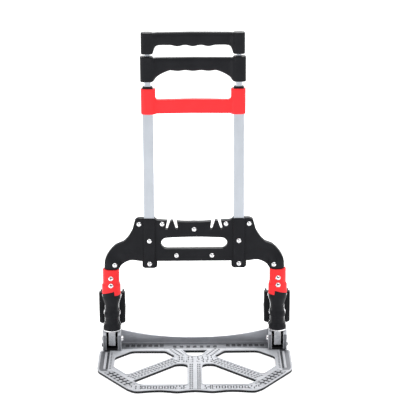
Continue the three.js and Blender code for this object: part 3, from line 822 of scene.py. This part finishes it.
def cam_collar():
    profile = [
        (15, EDGE + 0.01), (18.9, EDGE + 0.01), (19.3, EDGE + 0.4), (19.3, 146), (18.8, 147.4),
        (17.3, 149.8), (17, 151), (17, COLLAR_TOP - 1.2), (16.6, COLLAR_TOP - 0.3), (15.8, COLLAR_TOP),
        (POST_HOLE, COLLAR_TOP), (POST_HOLE, SPRING_HIGH), (15, SPRING_HIGH), (15, EDGE + 0.01),
    ]
    collar = turned(profile, 144, cam_edge(0))
    holes = [rivet_hole(0, z) for z, _ in COLLAR_RIVETS.values()]
    on_leg("collar", cut(collar, *holes), RED, "frame", "cam_collar", sharp=38)
    for label, (z, half) in COLLAR_RIVETS.items():
        node = f"collar_rivet_{label}"
        slot = block(-2.6, 2.6, -half - 2.6, -half - 1, z + 0.5, z + 2.3, 0.2)  # for a driver
        head = cut(moved(rivet(half), 0, 0, z), slot)
        on_leg(f"collar_stud_{label}", head, BRIGHT, "frame", node, sharp=40)
        fill = block(-2.5, 2.5, -half - 1.5, -half - 0.9, z + 0.6, z + 2.2)
        on_leg(f"collar_slot_{label}", fill, SHADE, "frame", node)


def swivel_sleeve():
    room, foot_top, low = 14.4, 58.85, 50.6  # the post's foot turns in a room inside the sleeve
    profile = [(room, low), (17.9, low), (18.2, low + 0.4), (18.2, 55), (17.7, 56.6), (14.5, 61.9),
               (14, 63.4), (14, 74.6), (14.4, 75.8), (15.6, 77.8), (15.9, 78.9), (15.9, 84.1), (15.5, 85.3),
               (13.8, 88.5), (13.4, 89.9), (13.4, 100.4), (13.8, 102.2), (15.4, 108), (18.3, 117),
               (18.8, 119), (18.8, EDGE - 0.4), (18.4, EDGE), (14, EDGE), (14, SPRING_LOW),
               (POST_HOLE, SPRING_LOW), (POST_HOLE, foot_top), (room, foot_top), (room, low)]
    body = turned(profile, 144, cam_edge(-GAP))
    kept = common(body, block(-FAR, FAR, -FAR, 11.7, 0, 150))
    on_leg("sleeve", kept, BLACK, "swivel", "swivel_sleeve", sharp=38)


def bracket_plate():
    """Flat bright plate behind the sleeve; its wavy edges show either side of it."""
    half = [(0, 53), (19.4, 53), (19.4, 56), (15.3, 63), (15.3, 75), (17.3, 78.5), (17.3, 84.5),
            (14.8, 89.5), (14.8, 101), (16.8, 108), (20.1, 118), (20.1, 121.5), (0, 121.5)]
    plate = prism([rounded(symmetric(half), 1.2)], 12.0, 13.8, 0.35, FRONTAL, rings=2)
    room = rod(14, SPRING_LOW - GAP, SPRING_LOW + FAR)
    on_leg("bracket", cut(plate, room), BRIGHT, "swivel", "bracket_plate")


def return_spring():
    """Round wire wound about the post between the sleeve and the collar."""
    low, high, radius, wire, turns, around = SPRING_LOW, SPRING_HIGH, 11.7, 0.9, 4, 10
    steps = 36 * turns
    bm = bmesh.new()
    rings = []
    for i in range(steps + 1):
        a = 2 * math.pi * turns * i / steps
        z = low + GAP + wire + (high - low - 2 * wire - 2 * GAP) * i / steps
        outward, up = Vector((math.cos(a), math.sin(a), 0)), Vector((0, 0, 1))
        ring = []
        for n in range(around):
            b = 2 * math.pi * n / around
            round_wire = outward * (radius + wire * math.cos(b)) + up * (z + wire * math.sin(b))
            ring.append(bm.verts.new(round_wire))
        rings.append(ring)
    bridge(bm, rings, around)
    bm.faces.new(rings[0])
    bm.faces.new(rings[-1][::-1])
    mesh = edited(finished(bm), outwards)
    springs = on_leg("spring", mesh, POST, None, "return_spring", sharp=50, weighted=False)
    for spring, (side, s) in zip(springs, SIDES):
        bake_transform(spring)


def thrust_disc():
    low, high = ends("thrust_disc_right")
    half = [(0, low), (17.4, low), (18.2, low + 0.7)]
    body = turned(half + [(r, low + high - z) for r, z in half[::-1]])
    width = FOOT_HALF + GAP
    room = block(-width, width, FOOT_FRONT - GAP, FOOT_BACK + GAP, low - 5, high + 5)
    bore = rod(POST_HOLE, low - 5, high + 5)
    on_leg("disc", cut(body, room, bore), BRIGHT, "lift", "thrust_disc")


# ---- fork, axle and wheel
FORK_HALF, FORK_INNER, CHEEK = 27, 20.6, 4
FORK_FRONT, FORK_WEB, FORK_HIGH, FORK_LOW = 19, 24, 122.6, 54


def fork_flange(s):
    """Upright edge of the fork; its lower front corner is a slanting triangular facet."""
    inner, outer, front, back, low = s * 18, s * FORK_HALF, FORK_FRONT, 30, FORK_LOW + 3
    corners = [(x, y, FORK_HIGH) for x in (inner, outer) for y in (front, back)]
    corners += [(outer, front, 88), (outer, front + 3.4, low), (outer, back, low)]
    corners += [(s * 18.6, front, FORK_LOW + 0.5), (inner, back, FORK_LOW), (inner, front, FORK_LOW)]
    bm = bmesh.new()
    hull = bmesh.ops.convex_hull(bm, input=[bm.verts.new(corner) for corner in corners])
    bmesh.ops.delete(bm, geom=hull["geom_interior"], context="VERTS")
    soften(bm, 0.4, 2)
    return edited(finished(bm), outwards)


def wheel_fork():
    """Web behind the bracket plate, two cheeks with sunk panels that hold the axle, and two flanges."""
    web = rounded(symmetric([
        (0, FORK_LOW - 2), (17.6, FORK_LOW - 2), (18.6, FORK_LOW + 1),
        (FORK_INNER, 88), (FORK_INNER, FORK_HIGH), (0, FORK_HIGH),
    ]), 1)
    saddle = symmetric([(0, 58), (14, 58), (14, 118), (0, 118)])
    boss = 13
    cheek = Outline(FORK_FRONT + 6, FORK_HIGH - 0.2)
    cheek.line((FORK_FRONT + 6, FORK_LOW + 0.2), (FORK_WEB + 8, FORK_LOW + 0.2))
    cheek.line((AXLE_Y - 5, WHEEL_Z - boss + 1))
    cheek.arc(AXLE_Y, WHEEL_Z, boss, -90, 54, 18)
    cheek.quad((70, FORK_HIGH - 16), (44, FORK_HIGH - 0.2), 12)
    bodies = [
        prism([web], FORK_FRONT + 0.3, FORK_WEB, 0.6, FRONTAL),
        prism([rounded(saddle, 1)], 14.1, FORK_FRONT + 1, 0.5, FRONTAL),
    ]
    inside = rounded([(31, FORK_HIGH - 14), (31, 76), (62, 76), (56, 96)], 6)
    tools = []
    for s in (-1, 1):
        x = s * (FORK_INNER + CHEEK / 2)
        bodies.append(prism([cheek.points], x - CHEEK / 2, x + CHEEK / 2, 1.1, SIDEWAYS))
        bodies.append(fork_flange(s))
        low, high = sorted((s * (FORK_INNER + CHEEK - 2.3), s * (FORK_HALF + 3)))
        tools.append(prism([inside], low, high, 0, SIDEWAYS))
    tools.append(moved(pin_hole(), *HUB))
    fork = cut(joined(*bodies), *tools)
    for o in on_leg("fork", fork, BLACK, "swivel", "wheel_fork"):
        # The facets that face forward, outward and down get the paler plastic as painted light.
        two_tone(o, PAINTED_LIGHT_FACET, lambda n, _: n.y < -0.5 and abs(n.x) > 0.4 and n.z < -0.04)


def axle():
    face = FORK_INNER + CHEEK + GAP
    cap = ((0, 1.2), (1.2, 1.3), (1.6, 2.1), (6, 2.1), (9.5, 1.8), (12, 1.2), (13, 0.4), (13, 0), (4, 0))
    half = [(r, face + h) for r, h in cap]
    profile = half + [(r, -x) for r, x in reversed(half)]
    mesh = moved(along_x(turned(profile, 40)), *HUB)
    on_leg("axle_look", mesh, BRIGHT, "swivel", "axle")


def wheel_parts():
    """Bush, rim with six round windows, and tyre with a groove round its tread."""
    bush = even_ring([(PIN_HOLE, 20), (7, 20)], 0.5, 40)
    on_leg("bush", moved(along_x(bush), *HUB), BRIGHT, "wheel", "wheel_bearing")

    rim = even_ring([(7.3, 19.6), (12.4, 19.6), (13.4, 5), (41.5, 4.2), (44, 10.5), (50, 11.5), (51, 11)],
                    1.0, 96)
    windows = [
        spun(moved(along_x(rod(8, -FAR, FAR, 32)), 0, 28.5, 0), "X", 60 * i) for i in range(6)
    ]
    rim = cut(along_x(rim), *windows)
    on_leg("rim", moved(rim, *HUB), RIM, "wheel", "wheel_rim")

    tread = WHEEL_RADIUS
    tyre = even_ring([(51.3, 11.5), (55, 12.5), (58.5, 12.5), (61.4, 10), (tread - 0.4, 6), (tread, 1.6),
                      (tread - 1.1, 0.9)], 1.2, 128)
    on_leg("tyre_look", moved(along_x(tyre), *HUB), RUBBER, "wheel", "tyre")


# ---- toe plate
def plate_plan():
    """The plate's outline from above, with a gently waved front edge."""
    half = PLATE_SIDE
    plan = Outline(0, -240)
    plan.spline((12, -241.5), (34, -246.2), (50, -243), (65, -240), (85, -240.5), (113, -245),
                (125, -239), (134.5, -229))
    plan.line((191, -138)).quad((half, -128), (half, -118)).line((half, -21), (191.5, -15))
    plan.line((191.5, 17), (157, 17), (156, 37), (0, 37))
    return symmetric(plan.points)


REAR_WINDOW = [(-26, -12), (26, -12), (13, -44), (7, -47), (-7, -47), (-13, -44)]
SIDE_WINDOW = [(61.6, -15.3), (124.9, -14.2), (133, -17.5), (162, -50), (164.2, -57),
               (164.5, -110), (160, -116), (138, -152), (131, -150), (42, -53), (41.5, -46)]
FRONT_WINDOW = [(38.6, -94.4), (24, -93.5), (17, -98), (14.8, -105), (14.8, -209), (18, -212),
                (68.5, -211.5), (103, -211.5), (112, -206), (124, -190)]


def plate_windows():
    windows = [rounded(REAR_WINDOW, 3)]
    for _, s in SIDES:
        for window in (SIDE_WINDOW, FRONT_WINDOW):
            windows.append([(s * x, y) for x, y in rounded(window, 4)])
    return windows


def inset(points, distance):
    """A closed outline moved inwards, or outwards by a negative distance."""
    count = len(points)
    area = sum(
        points[i - 1][0] * points[i][1] - points[i][0] * points[i - 1][1] for i in range(count)
    )
    side = 1 if area > 0 else -1
    out = []
    for i in range(count):
        before, here, after = (Vector(points[(i + k) % count]) for k in (-1, 0, 1))
        a, b = (here - before).normalized(), (after - here).normalized()
        na, nb = Vector((-a.y, a.x)) * side, Vector((-b.y, b.x)) * side
        out.append(tuple(here + (na + nb) * distance / max(1 + na.dot(nb), 0.5)))
    return out


# The plate is a casting with a dark body and a light skin. The tread is cut through the skin.
SKIN_LOW, SKIN_TOP = 5.0, 6.1
REAR_BAND, SIDE_BAND, SIDE_END = -4, 176, -134  # y, x and y where the skin changes tone
# Lines in plan that the tread follows, on the right-hand side.
CHAMFER = ((191, -138), (134.5, -229))
RIB = ((40.3, -74), (126, -169))
SHORT_RIB = ((29, -44), (46, -8))
FRONT_BAND = ((45, -226.5), (101, -226.5))


def stamp(width, height, x, y, degrees=0.0):
    """A small rectangle in plan."""
    turn = Matrix.Rotation(math.radians(degrees), 2)
    corners = ((-1, -1), (1, -1), (1, 1), (-1, 1))
    return [tuple(turn @ Vector((a * width / 2, b * height / 2)) + Vector((x, y))) for a, b in corners]


def along(start, end, pitch, shift=0.0):
    """Points at even pitch between two places in plan, moved sideways, and the line's angle."""
    start, end = Vector(start), Vector(end)
    line = end - start
    side = Vector((-line.y, line.x)).normalized() * shift
    count = max(round(line.length / pitch), 1)
    angle = math.degrees(math.atan2(line.y, line.x))
    return [(*(start + line * i / count + side), angle) for i in range(count + 1)]


def row(width, height, start, end, pitch, shift=0.0):
    """Rectangles at even pitch along a line in plan, their width along the line."""
    return [stamp(width, height, x, y, angle) for x, y, angle in along(start, end, pitch, shift)]


def inside(point, loop):
    """Whether a point lies in a closed outline."""
    x, y = point
    crossings = 0
    for (ax, ay), (bx, by) in zip(loop, loop[1:] + loop[:1]):
        if (ay > y) != (by > y) and x < ax + (bx - ax) * (y - ay) / (by - ay):
            crossings += 1
    return crossings % 2 == 1


def probes(loop):
    """An outline's corners, the middles of its edges and its centre."""
    middles = [((ax + bx) / 2, (ay + by) / 2) for (ax, ay), (bx, by) in zip(loop, loop[1:] + loop[:1])]
    centre = tuple(sum(c) / len(loop) for c in zip(*loop))
    return loop + middles + [centre]


def fitting(cuts):
    """The cuts that stay on the plate's skin, clear of its lips and of each other."""
    edge = inset(plate_plan(), 2.8)
    holes = [inset(window, -2.8) for window in plate_windows()]
    kept = []
    for loop in cuts:
        points = probes(loop)
        on_plate = all(inside(p, edge) and not any(inside(p, hole) for hole in holes) for p in points)
        clear = not any(
            any(inside(p, other) for p in points) or any(inside(p, loop) for p in probes(other))
            for other in kept
        )
        if on_plate and clear:
            kept.append(loop)
    return kept


def hook(x, y):
    """An L or C of cut line for the ornament round the hub."""
    w, h, line = 3.1, 4.6, 2.1
    shape = random.choice((
        [(-w, -h), (w, -h), (w, line - h), (line - w, line - h), (line - w, h), (-w, h)],
        [(-w, -h), (w, -h), (w, h), (w - line, h), (w - line, line - h), (-w, line - h)],
        [(-w, h - line), (w - line, h - line), (w - line, -h), (w, -h), (w, h), (-w, h)],
        [(-line / 2, -h), (line / 2, -h), (line / 2, h), (-line / 2, h)],
    ))
    return [(x + a, y + b) for a, b in shape]


def tread_cuts():
    """Outlines of the tread's recesses on the right-hand side of the plate, and of its islands."""
    cuts = row(8.4, 17, (69, 16.5), (141, 16.5), 12) + row(7.6, 13, (14, 9), (42, 9), 14)
    for width, height, line, pitch, shift in (
        (4.8, 4.6, SHORT_RIB, 8, 4.6), (6.2, 4.2, RIB, 9.6, 9), (4.8, 4.4, RIB, 8.4, 3),
    ):
        for side in (-1, 1):
            cuts += row(width, height, *line, pitch, side * shift)
    for x in (5.7, 9.7):
        cuts += row(7, 2.6, (x, -98), (x, -232), 11.4)
    cuts.append(row(91, 20.5, *CHAMFER, 53, -14.75)[1])
    cuts += row(8.4, 15.5, *FRONT_BAND, 11.2)
    hooks = [(y, *ends, 8.6) for y in (-220.6, -231.4) for ends in ((20, 36), (109, 127))]
    hooks += [(y, 6, 43, 9.2) for y in (-56, -68, -80)]
    for y, start, end, pitch in hooks:
        cuts += [hook(x, y) for x, _, _ in along((start, y), (end, y), pitch)]
    cuts.append(stamp(3.8, 96, 177.9, -74))
    cuts += row(4.6, 3, (171.4, -28), (171.4, -118), 9)
    cuts = fitting(cuts)
    islands = row(4.2, 9.5, *FRONT_BAND, 11.2)
    for shift in (-9.6, -20.2):
        islands += [rounded(loop, 3) for loop in row(7, 7.8, *CHAMFER, 13.4, shift)[1:-1]]
    return cuts + [loop for loop in islands if any(inside(loop[0], other) for other in cuts)]


def plate_skin():
    cuts = [stamp(7.6, 13, 0, 9)]
    for s in (-1, 1):
        cuts += [[(s * x, y) for x, y in loop] for loop in tread_cuts()]
    skin = prism([plate_plan(), *plate_windows(), *cuts], SKIN_LOW, SKIN_TOP, 0.25, rings=1)

    def zones(bm):
        for x in (SIDE_BAND, -SIDE_BAND):
            split(bm, (1, 0, 0), x)
        for y in (REAR_BAND, SIDE_END):
            split(bm, (0, 1, 0), y)

    return edited(skin, zones)


def plate_rims():
    """Raised lips round the plate and its windows, and ridges on its sides, rear band and spine."""
    lips = [[plate_plan(), inset(plate_plan(), 3.4)]]
    lips += [[inset(window, -3.2), window] for window in plate_windows()]
    parts = [prism(loops, SKIN_TOP - 0.5, PLATE_TOP, 0.5, rings=2) for loops in lips]
    ridges = [(7.4, 178, 0, -145, 0.2, 0.4)]
    for s in (-1, 1):
        ridges += [(4.6, 98, s * 183, -74, 0, 0.3), (1.6, 98, s * 174.1, -74, 0, 0.3),
                   (64, 9, s * 97, -8, 0.2, 0.4)]
    for width, length, x, y, lower, bevel in ridges:
        ridge = [stamp(width, length, x, y)]
        parts.append(prism(ridge, SKIN_TOP - 0.3, PLATE_TOP - lower, bevel, rings=1))
    return gathered(*parts)


def toe_plate():
    loops = [inset(plate_plan(), 0.9), *(inset(window, -0.7) for window in plate_windows())]
    body = piece("plate_body", prism(loops, 0, 4.6, 0.3, rings=1), CAST_DARK, "toe", "toe_plate")
    two_tone(body, CAST, lambda n, _: n.z < -0.5)
    floor = prism(loops, 4.5, SKIN_LOW + 0.1, 0.1, rings=1)
    piece("plate_floor", floor, CAST_DULL, "toe", "toe_plate")
    skin = piece("plate_skin", plate_skin(), CAST_PALE_AND_PAINTED_HIGHLIGHT, "toe", "toe_plate")
    rear, end, side = LEG_PLANE + REAR_BAND * MM, LEG_PLANE + SIDE_END * MM, SIDE_BAND * MM
    two_tone(skin, CAST_GREY, lambda _, c: c.y > rear or (abs(c.x) > side and c.y > end))
    piece("plate_rims", plate_rims(), CAST_PALE_AND_PAINTED_HIGHLIGHT, "toe", "toe_plate")

    reach, front, steps = 156, 34, 24
    across = [reach * (1 - i / steps) for i in range(steps + 1)]
    top = [(x, 18.2 + 18.4 * (x / reach) ** 2.2) for x in across]
    outline = symmetric([(0, SKIN_LOW), (reach, SKIN_LOW), *top])
    wall = prism([outline], front, front + 3, 0.6, FRONTAL)
    piece("plate_wall", wall, CAST, "toe", "toe_plate")


def cheek_outline():
    """Clevis cheek from the side; its top front corner is the curve that the disc rests on."""
    lift = ends("toe_clevis_right")[1] - PIVOT_Z
    cam = []
    for i in range(21):
        fold = math.pi / 2 * i / 20
        reach = lift - DROP * fold
        ahead = reach * math.sin(fold) - DROP * math.cos(fold)
        up = reach * math.cos(fold) + DROP * math.sin(fold)
        cam.append((PIVOT_Y - ahead, PIVOT_Z + up))
    foot = PLATE_TOP + GAP
    return [(cam[-1][0], foot), (13, foot), (13, 34), (10, PIVOT_Z + lift), *cam]


def toe_clevis():
    """Two cast cheeks with a near-black sheet between them, behind and below the leg's own foot; the sheet
    is partly painted shade for the dark gap there.
    """
    outer, inner = 19.2, 11.8
    foot = PLATE_TOP + GAP
    cheeks = []
    for s in (-1, 1):
        low, high = sorted((s * inner, s * outer))
        cheek = prism([rounded(cheek_outline(), 1.0)], low, high, 0.9, SIDEWAYS)
        low, high = sorted((s * (inner - 0.5), s * outer))
        base = block(low, high, -14.2, 13, foot, foot + 2.6, 0.6)
        cheeks.append(cut(joined(cheek, base), moved(pin_hole(), *PIVOT)))
    for o in on_leg("clevis", gathered(*cheeks), CAST_GREY, "toe", "toe_clevis"):
        # Faces that face up or slant across take the pale cast as a painted highlight; the rest of each
        # cheek keeps the darker grey as painted shade. Both are copies of one cast finish.
        two_tone(o, CAST_PALE_AND_PAINTED_HIGHLIGHT, lambda n, _: n.z > 0.4 or abs(n.x * n.y) > 0.1)

    # The near-black sheet darkens the gap between the cheeks, in part as painted shade, in part as a dark
    # backing.
    dark_sheet = [(-14, foot), (12.8, foot), (12.8, 34), (11.4, 40), (10.7, 40), (10.7, foot + 3.6),
              (-14, foot + 3.6)]
    parts = [prism([dark_sheet], -inner, inner, 0.3, SIDEWAYS)]
    for s in (-1, 1):
        low, high = sorted((s * (FOOT_HALF + GAP), s * inner))
        washer = closed_ring([(4.4, low), (6.4, low), (6.4, high), (4.4, high)], 0.3, 32)
        parts.append(moved(along_x(washer), *PIVOT))
    knob = ((0, -0.5), (3.6, -0.5), (3.6, 1.6), (2.8, 2.2), (0, 2.4))
    knob = turned([(r, outer + h) for r, h in knob], 32)
    parts.append(moved(along_x(knob), 0, PIVOT_Y - 3, PIVOT_Z - 13))
    on_leg("clevis_dark_parts", gathered(*parts), NEAR_BLACK_AND_SHADE, "toe", "toe_clevis")


def pivot_pin():
    face = 19.5
    head = ((0, 4.4), (2.5, 4.3), (4.8, 3.6), (6, 2.2), (6.3, 0), (4, 0))
    profile = [(r, -face - h) for r, h in head] + [(4, face + 1), (3.2, face + 1.8), (0, face + 1.8)]
    mesh = along_x(turned(profile, 40))
    on_leg("pin", moved(mesh, *PIVOT), BRIGHT, "toe", "pivot_pin")


# ---- studio
FLOOR_REACH = 40  # metres, so that its edge stays out of low views


def studio():
    scene = bpy.context.scene
    scene.view_settings.view_transform = "Standard"
    scene.view_settings.look = "None"

    bm = bmesh.new()
    bmesh.ops.create_grid(bm, x_segments=8, y_segments=8, size=FLOOR_REACH)
    mesh = finished(bm)
    floor = placed(mesh, "floor")
    floor.location = (0, 0, CAD_BOX[0].z)
    paper = bpy.data.materials.new("paper")
    paper.use_nodes = True
    shader = paper.node_tree.nodes["Principled BSDF"]
    for name, setting in (
        ("Base Color", (0.95, 0.95, 0.95, 1)), ("Emission Color", (1, 1, 1, 1)),
        ("Emission Strength", 0.3), ("Roughness", 0.9), ("Specular IOR Level", 0.1),
    ):
        shader.inputs[name].default_value = setting
    mesh.materials.append(paper)

    world = bpy.data.worlds.new("studio")
    world.use_nodes = True
    background = world.node_tree.nodes["Background"]
    background.inputs["Color"].default_value = (0.96, 0.98, 1, 1)
    background.inputs["Strength"].default_value = 0.3
    scene.world = world

    lamp("sky", "SUN", (0.3, 0.4, 3), (0, 0, 0), 2.8, angle=100)
    lamp("key", "AREA", (1.2, -2.4, 2.2), (0, 0, 0.3), 14, size=1.6)
    lamp("side", "AREA", (2.4, 0.5, 1.2), (0, 0, 0.3), 12, size=1.4)
    lamp("fill", "AREA", (-2.4, -1.3, 0.9), (0, 0, 0.25), 24, size=1.4)
    lamp("back", "AREA", (0.5, 2.2, 1.7), (0, 0, 0.4), 36, size=2)


def lamp(name, kind, place, target, power, size=1.0, angle=0):
    """A square lamp of a size in metres, or a sun of an angle in degrees, aimed at a target."""
    data = bpy.data.lights.new(name, kind)
    data.energy = power
    if kind == "AREA":
        data.shape = "SQUARE"
        data.size = size
    else:
        data.angle = math.radians(angle)
    o = placed(data, name)
    o.location = place
    aim = Vector(target) - Vector(place)
    o.rotation_mode = "QUATERNION"
    o.rotation_quaternion = aim.to_track_quat("-Z", "Y")


def camera():
    """The photograph's view: a long lens a little above, the truck left of the frame's middle."""
    pitch, distance, roll = math.radians(15), 3.5006, math.radians(-0.37)
    data = bpy.data.cameras.new("camera")
    data.sensor_width = 36
    data.lens = 148.5
    data.shift_x = 0.0338
    data.clip_start, data.clip_end = 0.1, 60
    o = placed(data, "camera")
    target = Vector((0, LEG_PLANE, 0.3084))
    back = Vector((0, -math.cos(pitch), math.sin(pitch)))
    o.location = target + back * distance
    o.rotation_mode = "QUATERNION"
    level = (-back).to_track_quat("-Z", "Y")
    o.rotation_quaternion = level @ Matrix.Rotation(roll, 3, "Z").to_quaternion()
    bpy.context.scene.camera = o


# ---- assembly
random.seed(7)
camera()
studio()
housing_shells()
housing_rivets()
rails()
yoke()
bushings()
guide_plugs()
upper_handle()
mid_handle()
leg_post()
cam_collar()
swivel_sleeve()
bracket_plate()
return_spring()
thrust_disc()
wheel_fork()
axle()
wheel_parts()
toe_plate()
toe_clevis()
pivot_pin()
